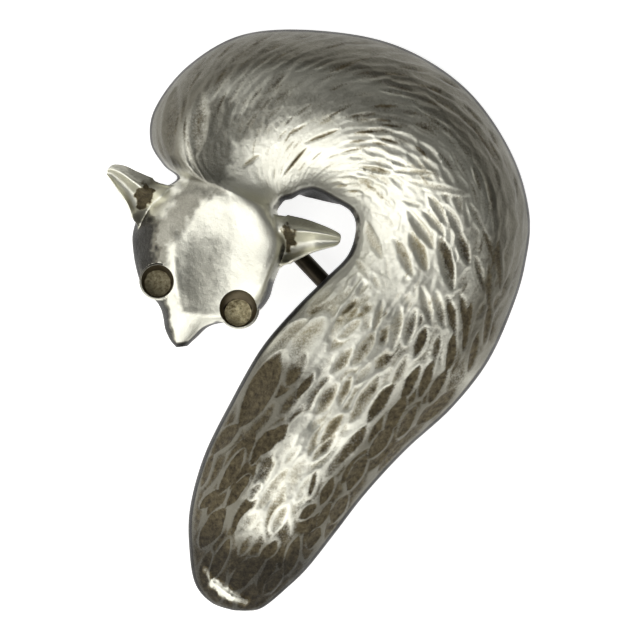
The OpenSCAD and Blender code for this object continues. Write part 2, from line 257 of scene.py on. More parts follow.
# Chased cuts: the ends' x and y on the photograph, the width, the depth in hundredths of a millimetre, the
# tarnish in tenths, and where the deepest line lies between the left edge, -10, and the right edge, 10
CUTS = [
    # Throat of the gap and the flame-like locks right of it
    (404, 212, 431, 251, 12, 28, 6, -4), (407, 233, 424, 273, 13, 28, 9, -5),
    (419, 212, 441, 239, 9, 24, 5, -4), (425, 198, 445, 229, 10, 25, 5, -4),
    (440, 208, 458, 240, 11, 26, 5, -3), (435, 238, 449, 292, 15, 30, 9, -4),
    (452, 232, 465, 267, 12, 27, 7, -4), (391, 238, 410, 279, 11, 21, 8, -6),
    (418, 286, 428, 325, 11, 24, 5, -4), (432, 290, 441, 330, 11, 20, 6, -3),
    (412, 307, 403, 344, 12, 24, 6, -4), (399, 304, 389, 350, 11, 20, 5, -5),
    (423, 325, 411, 356, 13, 23, 9, -4), (381, 297, 371, 333, 9, 14, 6, -5),
    (469, 256, 480, 294, 10, 21, 6, -3), (365, 222, 380, 260, 13, 15, 8, -2),
    (355, 259, 369, 281, 10, 7, 6, 0), (370, 271, 379, 291, 9, 7, 7, 0), (384, 256, 388, 283, 7, 6, 6, 0),
    (372, 215, 393, 229, 9, 7, 7, 0), (378, 198, 393, 213, 4, 8, 5, -3), (398, 202, 420, 209, 5, 14, 6, 2),
    (443, 294, 452, 336, 11, 22, 8, -3), (455, 290, 464, 332, 10, 19, 7, -2),
    (468, 300, 460, 352, 9, 20, 10, -2), (476, 330, 466, 372, 10, 17, 9, -2),
    (451, 330, 444, 372, 12, 18, 10, -2), (437, 332, 430, 362, 10, 15, 7, -3),
    (484, 262, 486, 312, 9, 14, 7, -2), (493, 240, 497, 292, 8, 9, 7, -2),
    (476, 226, 489, 262, 8, 14, 6, -3), (487, 300, 482, 346, 9, 14, 8, -2),
    (463, 205, 480, 236, 8, 9, 5, -3),
    # Ridge above the gap
    (357, 170, 392, 178, 7, 20, 6, 4), (388, 175, 432, 177, 6, 16, 5, 4), (403, 184, 465, 197, 9, 8, 4, 2),
    (283, 181, 309, 150, 4, 13, 8, 0), (304, 148, 341, 134, 5, 13, 7, 3), (288, 141, 307, 129, 5, 10, 7, 3),
    (290, 122, 316, 108, 5, 6, 4, 0), (244, 171, 262, 158, 6, 9, 6, 2), (318, 127, 342, 118, 5, 9, 4, 3),
    (330, 116, 360, 107, 5, 7, 4, 3),
    # Shoulder
    (178, 88, 174, 158, 20, 20, 4, 3), (206, 97, 199, 160, 19, 15, 5, 2), (197, 70, 188, 98, 10, 5, 3, 0),
    (226, 104, 214, 146, 11, 5, 2, 0), (236, 56, 216, 79, 9, 4, 2, 0), (258, 62, 232, 92, 9, 4, 3, 0),
    (165, 84, 157, 104, 8, 5, 4, 0),
    # Upper tail
    (360, 319, 338, 338, 11, 10, 6, 0), (374, 329, 350, 365, 17, 14, 8, 0),
    (352, 345, 331, 373, 13, 12, 8, 0), (371, 362, 354, 382, 11, 9, 6, 0),
    (337, 379, 315, 413, 16, 13, 8, 0), (351, 372, 338, 404, 11, 12, 8, 0),
    (378, 371, 349, 421, 15, 15, 9, 0), (394, 380, 365, 422, 15, 15, 9, 0),
    (343, 410, 320, 441, 14, 13, 9, 0), (337, 431, 312, 458, 11, 11, 8, 0),
    (289, 421, 257, 452, 18, 13, 10, 0), (312, 411, 289, 430, 13, 8, 3, 0),
    (298, 432, 275, 456, 10, 8, 4, 0), (316, 369, 296, 397, 10, 12, 9, 0),
    (326, 316, 289, 360, 24, 10, 5, 1), (309, 318, 266, 354, 18, 9, 5, 0), (308, 350, 286, 384, 18, 9, 6, 0),
    (327, 340, 309, 366, 10, 5, 2, 0), (303, 385, 280, 412, 14, 6, 4, 0),
    (282, 349, 240, 425, 27, 22, 10, 4), (348, 442, 326, 476, 12, 9, 6, 0),
    (367, 422, 337, 461, 15, 14, 10, 0), (404, 392, 384, 430, 14, 14, 10, 0),
    (391, 424, 368, 456, 14, 14, 10, 0), (418, 362, 400, 398, 13, 13, 9, 0),
    (433, 356, 417, 396, 12, 12, 9, 0), (406, 352, 390, 384, 11, 11, 6, 0),
    (366, 452, 347, 488, 13, 13, 10, 0), (446, 366, 427, 402, 12, 11, 9, 0),
    (414, 404, 397, 436, 11, 11, 10, 0),
    # Lower tail
    (241, 422, 211, 452, 15, 12, 9, 0), (246, 446, 219, 491, 13, 14, 10, 0),
    (219, 487, 201, 506, 10, 10, 10, 0), (214, 452, 201, 486, 10, 10, 9, 0),
    (251, 470, 228, 503, 11, 13, 10, 0), (227, 504, 201, 546, 19, 15, 10, 2),
    (231, 535, 211, 578, 13, 12, 10, 0), (265, 552, 229, 589, 20, 13, 10, 0),
    (279, 536, 261, 556, 13, 9, 9, 0), (299, 532, 286, 573, 13, 11, 10, 0),
    (321, 525, 308, 546, 12, 10, 10, 0), (317, 500, 299, 516, 11, 9, 9, 0), (317, 466, 309, 494, 8, 9, 9, 0),
    (334, 473, 321, 502, 11, 10, 9, 0), (347, 492, 331, 521, 13, 11, 10, 0),
    (263, 478, 251, 496, 9, 13, 8, 0), (259, 506, 240, 529, 13, 14, 4, -2),
    (288, 500, 272, 528, 12, 12, 6, 0), (302, 441, 285, 461, 8, 11, 5, 0), (254, 528, 240, 552, 10, 5, 5, 0),
    (312, 470, 296, 498, 9, 11, 6, 0), (331, 500, 318, 524, 9, 8, 9, 0), (283, 566, 265, 592, 12, 9, 9, 0),
    (267, 430, 252, 462, 9, 13, 9, 0),
]
# Soft swellings: the ends' x and y on the photograph, the width, and the height in hundredths of a
# millimetre, less than nothing for a hollow
SWELLINGS = [
    (292, 214, 292, 266, 84, 42), (304, 436, 292, 500, 46, 26), (266, 508, 262, 520, 30, 12),
    (372, 318, 338, 420, 56, 24), (402, 214, 408, 290, 50, 14), (166, 196, 170, 236, 26, 12),
    (200, 258, 196, 294, 38, -8), (178, 240, 177, 264, 13, 6), (177, 264, 182, 302, 13, 8),
    (246, 206, 262, 204, 34, 8), (204, 560, 214, 581, 8, 8), (214, 581, 232, 594, 8, 10),
    (232, 594, 246, 599, 8, 10), (266, 212, 258, 280, 60, 40), (150, 264, 168, 262, 18, -20),
]


def from_photo(x, y):
    """A place read on the photograph, in millimetres from the middle of the outline."""
    return (x - PHOTO_MIDDLE[0]) * brooch_h / PHOTO_STEPS, (PHOTO_MIDDLE[1] - y) * brooch_h / PHOTO_STEPS


def swellings(x, y):
    """Height of the swellings in millimetres."""
    height = np.zeros(x.shape)
    for x0, y0, x1, y1, width, up in SWELLINGS:
        height += smooth_step(1, 0, capsule(x, y, x0, y0, x1, y1, width)) * up / 100
    return height


def capsule(x, y, x0, y0, x1, y1, width):
    """Distance from a line that is read on the photograph, as a share of half the width."""
    ax, ay = from_photo(x0, y0)
    bx, by = from_photo(x1, y1)
    square = (bx - ax) ** 2 + (by - ay) ** 2
    along = np.clip(((x - ax) * (bx - ax) + (y - ay) * (by - ay)) / square, 0, 1)
    far = np.hypot(x - ax - along * (bx - ax), y - ay - along * (by - ay))
    return far / (width * brooch_h / PHOTO_STEPS / 2)


def lattice(i, j, seed):
    """A fixed number from 0 to 1 for each cell of a lattice."""
    h = np.sin(i * 127.1 + j * 311.7 + seed * 74.7) * 43758.5453
    return h - np.floor(h)


def drift(x, y, seed):
    """Smooth noise from -1 to 1, one lattice cell to a unit."""
    i = np.floor(x)
    j = np.floor(y)
    fx = smooth_step(0, 1, x - i)
    fy = smooth_step(0, 1, y - j)
    low = lattice(i, j, seed) * (1 - fx) + lattice(i + 1, j, seed) * fx
    high = lattice(i, j + 1, seed) * (1 - fx) + lattice(i + 1, j + 1, seed) * fx
    return (low * (1 - fy) + high * fy) * 2 - 1


def gouge(t, side, deep):
    """Depth from 0 to 1 in a cut: t along it from -1 to 1, the offset to the side as a share of the half
    width, and where across it the cut is deepest."""
    half = np.power(np.maximum(1 - t * t, 1e-6), 0.75)
    k = np.clip(side / half, -1, 1)
    fall = np.where(k < deep, (deep - k) / (1 + deep), (k - deep) / (1 - deep))
    return np.where(np.abs(t) < 1, (1 - fall * fall) * np.power(half, 0.6), 0)


def chased_cuts(x, y):
    """Depth in millimetres and tarnish of the cuts that are placed one by one, and the ground they take."""
    depth = np.zeros(x.shape)
    stain = np.zeros(x.shape)
    taken = np.zeros(x.shape)
    for n, (x0, y0, x1, y1, width, deep, dark, lean) in enumerate(CUTS):
        ax, ay = from_photo(x0, y0)
        bx, by = from_photo(x1, y1)
        length = math.hypot(bx - ax, by - ay)
        ux, uy = (bx - ax) / length, (by - ay) / length
        half = width * brooch_h / PHOTO_STEPS / 2
        px = x - (ax + bx) / 2
        py = y - (ay + by) / 2
        t = (px * ux + py * uy) / (length / 2)
        off = -px * uy + py * ux
        bow = 0.35 * half * (1 - t * t) * (lattice(n, 3, 5) - 0.5)
        wave = 0.14 * half * drift(t * 2.2 + n, n * 0.7, 9)
        d = gouge(t, (off + bow + wave) / half, -lean / 10)
        near = np.clip(1.25 - np.hypot(t, off / half * 0.9), 0, 0.35) / 0.35
        depth = np.maximum(depth, d * deep / 100)
        stain = np.maximum(stain, np.power(d, 0.6) * dark / 10)
        taken = np.maximum(taken, near)
    return depth, stain, taken


def scattered_cuts(p, q, length, width, seed):
    """Depth from 0 to 1 of cuts strewn over the skin, with p along the fur and q across it, and a number of
    each cut's own."""
    best = np.zeros(p.shape)
    own = np.zeros(p.shape)
    row = np.floor(q / width)
    for dj in (-1, 0, 1):
        j = row + dj
        shift = 0.5 * (j % 2)
        for di in (-1, 0, 1):
            i = np.floor(p / length - shift) + di
            mid_p = (i + 0.5 + shift + 0.3 * (lattice(i, j, seed) - 0.5)) * length
            mid_q = (j + 0.5 + 0.35 * (lattice(i, j, seed + 1) - 0.5)) * width
            turn = 0.3 * (lattice(i, j, seed + 2) - 0.5)
            half_l = length * (0.5 + 0.22 * lattice(i, j, seed + 3))
            half_w = width * (0.46 + 0.24 * lattice(i, j, seed + 4))
            t = (p - mid_p) / half_l
            off = (q - mid_q - turn * (p - mid_p)) / half_w
            d = gouge(t, off, -0.25 + 0.5 * lattice(i, j, seed + 5))
            d = d * (0.4 + 0.6 * lattice(i, j, seed + 6))
            own = np.where(d > best, lattice(i, j, seed + 7), own)
            best = np.maximum(best, d)
    return best, own


# Strewn strokes: length and width in millimetres, and the noise's seed
TAIL_STROKES = (3.4, 1.15, 3)
BODY_STROKES = (2.0, 0.66, 23)
FINE_STROKES = (1.5, 0.42, 53)
# Depths in millimetres, and how much of the back's is lost towards its outer side
TAIL_CUT = 0.17
BACK_CUT = 0.17
BACK_LOSS = 0.08
BODY_CUT = 0.07
FINE_CUT = 0.04
PIT = 0.03
# The fur's greatest slant to the animal's middle line, in degrees
SLANT = 30


def fur(skin, r, u, s, run):
    """Depth of the fur in millimetres, and the tarnish that lies in it, over the whole skin."""
    x, y = skin[:, :, 0], skin[:, :, 1]
    section = u[:, None]
    width = width_across(r)
    along = np.repeat(run[:, None], s.shape[1], axis=1)
    lean = np.tan(np.radians(SLANT)) * smooth_step(11.5, 14.5, u) * (1 - smooth_step(18.5, 20.5, u))
    swept = np.concatenate([[0], np.cumsum((lean[1:] + lean[:-1]) / 2 * np.diff(run))])[:, None]
    q = (s - 0.5) * width + swept
    placed, placed_stain, taken = chased_cuts(x, y)
    tail, tail_own = scattered_cuts(along, q, *TAIL_STROKES)
    body, body_own = scattered_cuts(along, q, *BODY_STROKES)
    fine, fine_own = scattered_cuts(along, q, *FINE_STROKES)

    # Where each kind lies
    on_tail = 1 - smooth_step(7.5, 9.5, section)
    on_back = smooth_step(7.0, 9.0, section) * (1 - smooth_step(12.5, 14.5, section))
    on_body = smooth_step(12.0, 14.0, section) * (1 - smooth_step(19.6, 20.8, section))
    on_body = on_body * (1 - smooth_step(16.5, 18.5, section) * smooth_step(0.72, 0.42, s))
    edge = smooth_step(0.1, 0.8, s * width) * smooth_step(0.1, 0.8, (1 - s) * width)
    edge = edge * smooth_step(0.5, 1.4, section)
    smooth_here = np.maximum(smooth_step(6.5, 8.0, section), smooth_step(3.4, 2.4, section))
    free = (1 - taken) * (1 - 0.75 * smooth_here * rubbed_and_highlit(x, y))
    outer = smooth_step(0.02, 0.14, s)
    quiet = 0.35 + 0.65 * smooth_step(0.30, 0.50, s)

    back_cut = BACK_CUT - BACK_LOSS * smooth_step(0.45, 0.75, s)
    depth = (TAIL_CUT * tail * on_tail + back_cut * body * on_back * outer
             + BODY_CUT * body * on_body * quiet) * free
    depth = depth + FINE_CUT * fine * fine_own * (on_back + on_body * quiet) * free
    stain = (np.power(tail, 0.5) * (0.55 + 0.45 * tail_own) * on_tail
             + body * (0.18 + 0.42 * body_own) * (on_back * outer + on_body * quiet)) * free
    stain = np.maximum(stain, 0.75 * fine * fine_own * (on_back + on_body) * outer)

    # Pits in the tarnish, a slow swell of the coat, and the wear of hands on the bare head
    pits = PIT * drift(along / 0.42, q / 0.28, 61) * np.clip(stain * 1.4, 0, 1)
    swell = 0.022 * drift(along / 2.6, q / 0.9, 41) + 0.016 * drift(along / 1.5, q / 0.45, 43)
    hand_worn = 0.030 * drift(x / 1.1, y / 1.1, 71) + 0.009 * drift(x / 0.42, y / 0.42, 73)
    hand_worn = (hand_worn + 0.005 * drift(x / 0.2, y / 0.2, 75)) * smooth_step(19.5, 21.5, section)
    coat = np.maximum(0.8 * on_body, 0.6 * (on_tail + on_back))
    depth = np.maximum(depth, placed) + swell * coat + pits + hand_worn
    stain = np.maximum(stain, placed_stain) * (1 - 0.5 * rubbed_and_highlit(x, y))
    flank = tail_flank_stain_and_shade(u, s) * (0.06 + 1.1 * np.clip(stain * edge * 1.5, 0, 1))
    return depth * edge, np.maximum(stain * edge, flank)


def tail_flank_stain_and_shade(u, s):
    """Darkening on the tail's flanks and end: brown tarnish, and painted shade where the flanks fall away."""
    section = u[:, None]
    inner = smooth_step(0.50, 0.24, s) * (1 - smooth_step(6.4, 7.6, section))
    outer = smooth_step(0.58, 0.84, s) * (1 - smooth_step(6.5, 9.0, section))
    low = smooth_step(4.3, 3.0, section)
    return np.maximum(np.maximum(inner, outer), low)


# Grey and black patches, mostly painted shade and shadow on the cheek, round the eyes, along edges and in the
# gap, with some
# grey patina on the back: the ends' x and y on the photograph, the width, and how dark in tenths, where 10 is
# full grey and 20 is black
GREY_AND_SHADE_PATCHES = [
    (142, 226, 149, 268, 36, 17), (134, 222, 136, 268, 12, 19), (160, 226, 161, 262, 24, 8),
    (163, 300, 171, 340, 13, 17), (222, 122, 208, 184, 46, 8), (206, 180, 168, 236, 30, 8),
    (240, 132, 262, 122, 38, 7), (270, 114, 345, 106, 34, 6), (345, 108, 398, 124, 30, 6),
    (206, 254, 199, 298, 44, 5), (262, 308, 270, 290, 6, 14), (271, 290, 286, 270, 4, 14),
    (286, 270, 298, 262, 4, 12), (192, 342, 219, 322, 4, 17), (283, 201, 330, 203, 6, 20),
    (330, 203, 352, 214, 4, 18), (152, 272, 158, 298, 12, 12),
]
# Places kept bright, worn by hands and painted with highlight where the light falls: the ends' x and y on the
# photograph, the width, and how bright in tenths
RUBBED_AND_HIGHLIT = [
    (240, 205, 300, 238, 40, 8), (262, 240, 272, 270, 22, 8), (180, 232, 176, 262, 8, 10),
    (176, 262, 182, 300, 8, 10), (190, 318, 180, 336, 9, 8), (206, 568, 214, 581, 6, 6),
    (214, 581, 232, 594, 12, 9), (232, 594, 246, 599, 9, 7), (296, 490, 312, 420, 30, 5),
    (318, 410, 345, 340, 56, 4), (262, 500, 284, 456, 34, 5), (374, 215, 384, 290, 40, 9),
    (400, 200, 428, 290, 44, 7), (345, 440, 372, 350, 26, 5),
]


def strongest(places, x, y, ragged, outside, inside):
    """The strongest of the places that are laid one by one, with ragged edges, from tenths."""
    value = np.zeros(x.shape)
    for x0, y0, x1, y1, width, much in places:
        far = capsule(x, y, x0, y0, x1, y1, width) + ragged
        value = np.maximum(value, smooth_step(outside, inside, far) * much / 10)
    return value


def grey_and_shade_patches(x, y):
    """Grey of the patches, mostly painted shade."""
    ragged = 0.22 * drift(x / 0.45, y / 0.45, 81) + 0.16 * drift(x / 0.2, y / 0.2, 83)
    return strongest(GREY_AND_SHADE_PATCHES, x, y, ragged, 1.35, 0.45)


def rubbed_and_highlit(x, y):
    """How bright a place is kept, by the wear of hands and by painted highlight, from 0 to 1."""
    ragged = 0.25 * drift(x / 0.4, y / 0.4, 85) + 0.15 * drift(x / 0.17, y / 0.17, 87)
    return strongest(RUBBED_AND_HIGHLIT, x, y, ragged, 1.3, 0.5)


def outer_patina_and_shade(skin, u, s, normal, from_edge):
    """Grey on the outer flank, partly patina and partly painted shade that darkens the steeper it falls, and
    painted black shade on the upright rim.
    """
    x, y = skin[:, :, 0], skin[:, :, 1]
    section = u[:, None]
    # Painted shade: the steeper the skin falls, the greyer it is painted
    steep = smooth_step(0.97, 0.70, normal[:, :, 2])
    outward = smooth_step(0.38, 0.60, s) * smooth_step(6.0, 9.0, section)
    outward = outward * (1 - smooth_step(19.0, 21.0, section))
    # Painted black shade along the rim, where the edge turns down
    rim = smooth_step(0.46, 0.24, from_edge) * 1.85
    tail = (1.2 + 0.35 * smooth_step(4.3, 3.0, section)) * tail_flank_stain_and_shade(u, s)
    grey = np.maximum(np.maximum((0.43 + 0.85 * steep) * outward, tail), rim)
    return np.maximum(grey * (1 - rubbed_and_highlit(x, y)), grey_and_shade_patches(x, y))


def casting_columns():
    """Shares across one ring: a closer spacing near the edges, where the skin turns down."""
    t = np.linspace(0, 1, SKIN_SPANS + 1)
    return 0.62 * t + 0.38 * (1 - np.cos(np.pi * t)) / 2


def softened(z, reach):
    """Heights averaged with their neighbours' along and across the skin, reach counted in spans."""
    step = np.arange(-2 * reach, 2 * reach + 1)
    weight = np.exp(-(step / reach) ** 2)
    for axis in (0, 1):
        wide = np.pad(z, [(2 * reach * (axis == k),) * 2 for k in (0, 1)], mode="edge")
        z = np.apply_along_axis(np.convolve, axis, wide, weight / weight.sum(), "valid")
    return z


def casting_points():
    """Every point of the hollow body, ring by ring, with its tarnish, and its patina mixed with painted
    shade.
    """
    u, run = even_sections()
    r = rows(SECTIONS, u)
    width = width_across(r)
    s = np.repeat(casting_columns()[None, :], len(u), axis=0)
    skin = ring_points(r, s, skin_z(r, s))
    from_edge = np.minimum(s, 1 - s) * width
    # The head between the ears and the muzzle is smooth
    on_head = smooth_step(21.5, 22.8, u)[:, None] * (1 - smooth_step(28.0, 29.2, u)[:, None])
    on_head = on_head * smooth_step(0.8, 2.4, from_edge)
    skin[:, :, 2] += (softened(skin[:, :, 2], 8) - skin[:, :, 2]) * on_head
    skin[:, :, 2] += swellings(skin[:, :, 0], skin[:, :, 1]) * smooth_step(0.0, 0.7, from_edge)
    depth, stain = fur(skin, r, u, s, run)
    normal = np.cross(np.gradient(skin, axis=0), np.gradient(skin, axis=1))
    normal /= np.maximum(np.linalg.norm(normal, axis=2, keepdims=True), 1e-9)
    normal *= np.sign(normal[:, :, 2:3] + 1e-9)
    ends = np.minimum(run, run[-1] - run)[:, None]
    patina_and_shade = outer_patina_and_shade(skin, u, s, normal, np.minimum(from_edge, ends))
    skin = skin - normal * depth[:, :, None]

    wall = np.minimum(side_wall / width, 0.35)
    inset = np.minimum(foot_inset / width, 0.1)
    part = np.clip((u - FLARE_FROM) / (FLARE_TO - FLARE_FROM), 0, 1)[:, None]
    leaning = np.sin(np.pi * part) ** 2 * (flare + foot_inset) / width
    hollow = ((u > HOLLOW_FROM) & (u < HOLLOW_TO))[:, None]

    # The foot, the skin, the other foot, the hollow's roof and back to the first foot
    zero = np.zeros((len(u), 1))
    foot_in = ring_points(r, inset - leaning, foot_z(r, zero))
    feet_out = ring_points(r, np.hstack([1 - inset, 1 - wall]), np.hstack([foot_z(r, zero + 1)] * 2))
    k = np.linspace(0, 1, ROOF_SPANS + 1)[None, :]
    share = (1 - wall - 0.01) * (1 - k) + (wall + 0.01) * k
    low = foot_z(r, share)
    roof = ring_points(r, share, np.where(hollow, np.maximum(low + 0.05, skin_z(r, share) - skin_t), low))
    foot_back = ring_points(r, wall, foot_z(r, zero))
    points = np.concatenate([foot_in, skin, feet_out, roof, foot_back, foot_in], axis=1)
    # Tarnish and grey with painted shade on the walls and the back, and more painted shadow at the gap's
    # flare
    marks = np.full(points.shape[:2] + (2,), BACK_MARKS)
    marks[:, [0, -1, -2], 1] += 0.6 * np.clip(part * (1 - part) * 8, 0, 1)
    marks[:, 1:1 + s.shape[1], 0] = stain
    marks[:, 1:1 + s.shape[1], 1] = patina_and_shade
    return points, marks


def mesh_from_grid(name, points, marks):
    """A closed solid from rings of points whose last column repeats the first."""
    rings, columns = points.shape[:2]
    bm = bmesh.new()
    bmesh.ops.create_grid(bm, x_segments=columns - 1, y_segments=rings - 1, size=1.0)
    layers = [bm.verts.layers.float.new(mark) for mark in ("tarnish", "patina_and_shade")]
    for v in bm.verts:
        j = round((v.co.x + 1) / 2 * (columns - 1))
        i = round((v.co.y + 1) / 2 * (rings - 1))
        v.co = Vector(np.clip(points[i, j] * MM, cast_low, cast_high))
        for layer, mark in zip(layers, marks[i, j]):
            v[layer] = mark
    bmesh.ops.remove_doubles(bm, verts=[v for v in bm.verts if v.is_boundary], dist=1e-8)
    bmesh.ops.holes_fill(bm, edges=[e for e in bm.edges if e.is_boundary], sides=0)
    bmesh.ops.recalc_face_normals(bm, faces=bm.faces[:])
    mesh = bpy.data.meshes.new(name)
    bm.to_mesh(mesh)
    bm.free()
    return mesh


def link(name, data):
    """Puts a mesh, the camera or a light in the scene, at the origin and unturned."""
    item = bpy.data.objects.new(name, data)
    bpy.context.scene.collection.objects.link(item)
    return item


# Ears: how deep the root goes into the head, how thick the ear is at least, the pocket's middle and half
# width in shares of the way across, its half length in sections, and how ragged its dark edge is
EAR_ROOT = 0.9
EAR_LEAST = 0.15
POCKET_MIDDLE = 0.45
POCKET_HALF = 0.34
POCKET_LENGTH = 0.8
POCKET_RAGGED = 0.24


def ear_points(table, pocket_at, dark, sunk):
    """Rings of an ear: the section that its dark pocket lies at, how dark it is, and how many millimetres the
    ear's lower side sinks at the root."""
    u = np.linspace(0, len(table) - 1, EAR_RINGS)
    r = rows(table, u)
    profile = rows(EAR_PROFILE, np.linspace(0, len(EAR_PROFILE) - 1, EAR_COLUMNS))
    share = np.repeat(np.clip(profile[:, 0], 0, 1)[None, :], len(u), axis=0)
    level = profile[:, 1][None, :]
    z = (r[:, 5:6] * (1 - level) + r[:, 4:5] * level) * relief
    z = z - EAR_ROOT * smooth_step(1.4, 0.0, u)[:, None] - sunk * share * smooth_step(2.3, 0.7, u)[:, None]
    under = r[:, 6:7] * relief
    z = np.maximum(z, under + EAR_LEAST)
    share = np.hstack([np.full((len(u), 1), 0.08), share, np.full((len(u), 1), 0.92)])
    z = np.hstack([under, z, under])
    points = ring_points(r, share, z)
    ragged = POCKET_RAGGED * drift(points[:, 1:-1, 0] / 0.3, points[:, 1:-1, 1] / 0.3, 91)
    points = np.concatenate([points, points[:, :1]], axis=1)
    marks = np.zeros(points.shape[:2] + (2,))
    spot = np.exp(-((share[:, 1:-1] - POCKET_MIDDLE) / POCKET_HALF) ** 2
                  - (((u - pocket_at) / POCKET_LENGTH) ** 2)[:, None])
    marks[:, 1:-2, 0] = dark * smooth_step(0.3, 0.85, spot + ragged)
    # Grey along the ear's upper edge, and painted black shadow along its lower edge
    marks[:, 1:-2, 1] = 0.65 * smooth_step(0.30, 0.16, share[:, 1:-1]) * smooth_step(0.8, 2.0, u)[:, None]
    marks[:, :2, 1] = 1.2 * smooth_step(1.0, 2.0, u)[:, None]
    marks[:, -3:, 1] = 1.8 * smooth_step(2.0, 3.5, u)[:, None]
    marks[:, [0, -2, -1]] = BACK_MARKS
    return points, marks


# Eyes
def lathe(profile):
    """A bmesh turned from a profile of radius and height, both in millimetres."""
    bm = bmesh.new()
    verts = [bm.verts.new((x * MM, 0, z * MM)) for x, z in profile]
    edges = [bm.edges.new(pair) for pair in zip(verts, verts[1:])]
    bmesh.ops.spin(bm, geom=verts + edges, cent=(0, 0, 0), axis=(0, 0, 1), angle=2 * math.pi,
                   steps=EYE_STEPS, use_merge=True)
    bmesh.ops.remove_doubles(bm, verts=bm.verts[:], dist=1e-7)
    bmesh.ops.recalc_face_normals(bm, faces=bm.faces[:])
    return bm


def mesh_of(bm, name, spot=None):
    """The bmesh as a mesh, moved to its spot."""
    if spot is not None:
        bmesh.ops.transform(bm, matrix=spot, verts=bm.verts[:])
    mesh = bpy.data.meshes.new(name)
    bm.to_mesh(mesh)
    bm.free()
    return mesh


def eye_spot(eye):
    """Where an eye lies on the outline."""
    at = place(np.array(eye[0]), np.array(eye[1]))
    return Matrix.Translation(Vector((at[0], at[1], 0)) * MM)


def eye_cup(eye, d):
    """The lip round a pocket, rounded over at its edge, with painted shade on its upper side."""
    top = eye[2] * relief
    r = d / 2 + eye_lip
    edge = eye_lip / 2
    profile = [(0, lift), (r, lift), (r, top - edge)]
    profile += [(r - edge * (1 - math.cos(a)), top - edge * (1 - math.sin(a)))
                for a in (math.pi / 6 * k for k in range(1, 4))]
    profile += [(0, top)]
    bm = lathe(profile)
    patina_and_shade = bm.verts.layers.float.new("patina_and_shade")
    # Painted shade: darker towards the lip's upper side
    for v in bm.verts:
        v[patina_and_shade] = 1.0 + 0.7 * min(max(v.co.y / (r * MM), -1), 1)
    return mesh_of(bm, "eye_cup", eye_spot(eye))


# Pockets: rings on the floor and on the wall, the bevel at the mouth, how full the wall's curve is, and the
# share of the floor's width and of the depth that the cement starts at
FLOOR_RINGS = 14
WALL_RINGS = 8
POCKET_BEVEL = 0.04
WALL_POWER = 1.5
CEMENT_ACROSS = 0.98
CEMENT_BELOW = 0.35


def crumbs(x, y, seed):
    """Height of the old cement's crumbs in millimetres, coarse ones and finer ones among them."""
    return 0.06 + 0.07 * drift(x * 3.1, y * 3.1, seed) + 0.05 * drift(x * 8.0, y * 8.0, seed + 5)


def eye_pocket(eye, d, floor_d, shift, fill, seed):
    """The hollow of an eye: walls that narrow to a smaller floor, filled up with crumbs of old cement."""
    top = eye[2] * relief
    low = top - eye_depth + fill
    mouth = d / 2 + POCKET_BEVEL
    profile = [(floor_d / 2 * k / FLOOR_RINGS, low) for k in range(FLOOR_RINGS + 1)]
    profile += [(d / 2 - (d - floor_d) / 2 * (1 - k / WALL_RINGS) ** WALL_POWER,
                 low + (top - low - 2 * POCKET_BEVEL) * k / WALL_RINGS) for k in range(1, WALL_RINGS + 1)]
    profile += [(mouth, top), (mouth, top + relief), (0, top + relief)]
    bm = lathe(profile)
    for v in bm.verts:
        x, y, z = v.co / MM
        deep = min(max((top - z) / (top - low), 0), 1)
        v.co.x += shift[0] * deep * MM
        v.co.y += shift[1] * deep * MM
        if z < low + 0.001:
            v.co.z += crumbs(x, y, seed) * MM
    return mesh_of(bm, "eye_pocket", eye_spot(eye))


def cement_filled(pocket, eye, floor_d, shift):
    """Gives the second material to the floor of a pocket, and the first one to its walls."""
    spot = eye_spot(eye).to_translation().to_2d()
    level = (eye[2] * relief - eye_depth * CEMENT_BELOW) * MM
    for face in pocket.polygons:
        away = math.hypot(*(face.center.to_2d() - spot - Vector(shift) * MM))
        face.material_index = int(away < floor_d / 2 * MM * CEMENT_ACROSS and face.center.z < level)


def joined(piece, other, operation):
    """Applies a boolean with another mesh to the piece, and removes the other one."""
    tool = link("tool", other)
    modifier = piece.modifiers.new("join", "BOOLEAN")
    modifier.operation = operation
    modifier.solver = "MANIFOLD"
    modifier.object = tool
    bpy.context.view_layer.update()
    dg = bpy.context.evaluated_depsgraph_get()
    mesh = bpy.data.meshes.new_from_object(piece.evaluated_get(dg))
    piece.modifiers.clear()
    old = piece.data
    piece.data = mesh
    bpy.data.meshes.remove(old)
    bpy.data.objects.remove(tool)


# How far the rounding of a corner reaches each time, how often it is smoothed, and the front's least height
BLEND_REACHES = (1.1, 0.9, 0.7)
BLEND_PASSES = 6
BLEND_ABOVE = 2.5


def blend(piece, first, last, least):
    """Rounds the front's corner along a line between two places in shares, where the skin faces up enough."""
    bm = bmesh.new()
    bm.from_mesh(piece.data)
    a = place(np.array(first[0]), np.array(first[1]))
    b = place(np.array(last[0]), np.array(last[1]))
    spots = np.array([v.co[:2] for v in bm.verts]) / MM
    along = np.clip(((spots - a) @ (b - a)) / ((b - a) @ (b - a)), 0, 1)
    far = np.linalg.norm(spots - a - along[:, None] * (b - a), axis=1)
    for reach in BLEND_REACHES:
        close = [v for v, d in zip(bm.verts, far) if d < reach]
        front = [v for v in close if v.normal.z > least and v.co.z > BLEND_ABOVE * MM]
        for _ in range(BLEND_PASSES):
            bmesh.ops.smooth_vert(bm, verts=front, factor=0.5,
                                  use_axis_x=True, use_axis_y=True, use_axis_z=True)
    bm.to_mesh(piece.data)
    bm.free()


# Hinge and catch
def seat(where):
    """The place of a section and a share across it, and the skin's height there."""
    r = rows(SECTIONS, np.array([where[0]]))
    share = np.array([[where[1]]])
    spot = ring_points(r, share, skin_z(r, share))[0, 0]
    return spot[:2], float(spot[2])


